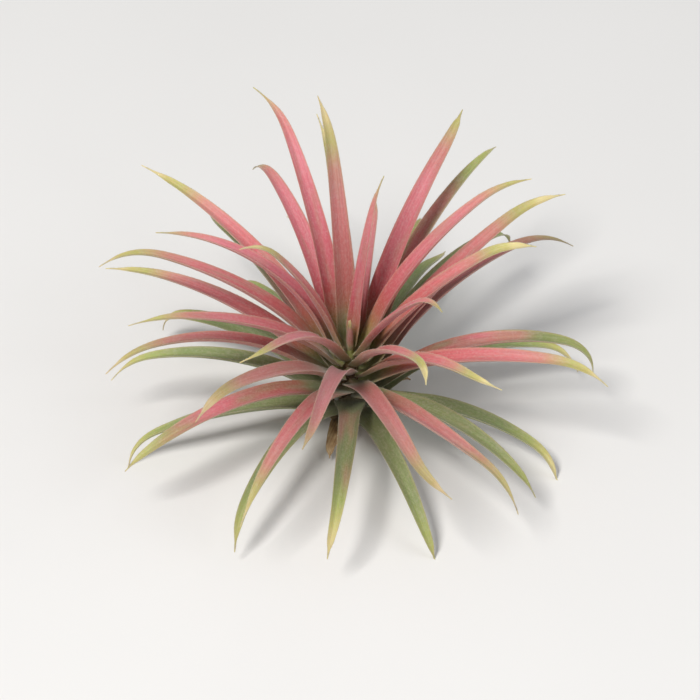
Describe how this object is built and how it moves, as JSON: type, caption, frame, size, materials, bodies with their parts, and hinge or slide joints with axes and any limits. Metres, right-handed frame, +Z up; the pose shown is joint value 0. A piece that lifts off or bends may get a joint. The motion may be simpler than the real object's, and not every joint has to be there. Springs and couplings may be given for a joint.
{
  "type": "sky plant",
  "caption": "Small air plant: a spiral of channelled, arching pink and sage leaves whose sheaths form a bulb on a short rooted stem.",
  "frame": {"origin": "middle of the stem's flat underside, on the surface that the plant stands on", "axes": "+Z up along the stem; -Y is the side that the picture looks from and that the crown leans to"},
  "size_m": [0.1449, 0.1426, 0.0953],
  "materials": {
    "pink_leaf": "matte",
    "green_leaf": "matte",
    "dry_leaf": "matte",
    "stem": "matte"
  },
  "bodies": {
    "root": {"stem": "stem", "leaf_01": "pink_leaf", "leaf_02": "pink_leaf", "leaf_03": "pink_leaf", "leaf_04": "pink_leaf", "leaf_05": "pink_leaf", "leaf_06": "pink_leaf", "leaf_07": "pink_leaf", "leaf_08": "pink_leaf", "leaf_09": "pink_leaf", "leaf_10": "pink_leaf", "leaf_11": "pink_leaf", "leaf_12": "pink_leaf", "leaf_13": "pink_leaf", "leaf_14": "pink_leaf", "leaf_15": "pink_leaf", "leaf_16": "pink_leaf", "leaf_17": "pink_leaf", "leaf_18": "pink_leaf", "leaf_19": "pink_leaf", "leaf_20": "pink_leaf", "leaf_21": "pink_leaf", "leaf_22": "pink_leaf", "leaf_23": "pink_leaf", "leaf_24": "pink_leaf", "leaf_25": "green_leaf", "leaf_26": "green_leaf", "leaf_27": "green_leaf", "leaf_28": "green_leaf", "leaf_29": "green_leaf", "leaf_30": "green_leaf", "leaf_31": "green_leaf", "leaf_32": "green_leaf", "leaf_33": "green_leaf", "leaf_34": "green_leaf", "leaf_35": "green_leaf", "leaf_36": "green_leaf", "leaf_37": "green_leaf", "leaf_38": "green_leaf", "leaf_39": "green_leaf", "leaf_40": "green_leaf", "leaf_41": "green_leaf", "leaf_42": "green_leaf", "leaf_43": "green_leaf", "leaf_44": "green_leaf", "leaf_45": "green_leaf", "leaf_46": "green_leaf", "dry_leaf_1": "dry_leaf", "dry_leaf_2": "dry_leaf", "dry_leaf_3": "dry_leaf", "dry_leaf_4": "dry_leaf", "dry_leaf_5": "dry_leaf"}
  },
  "joints": []
}
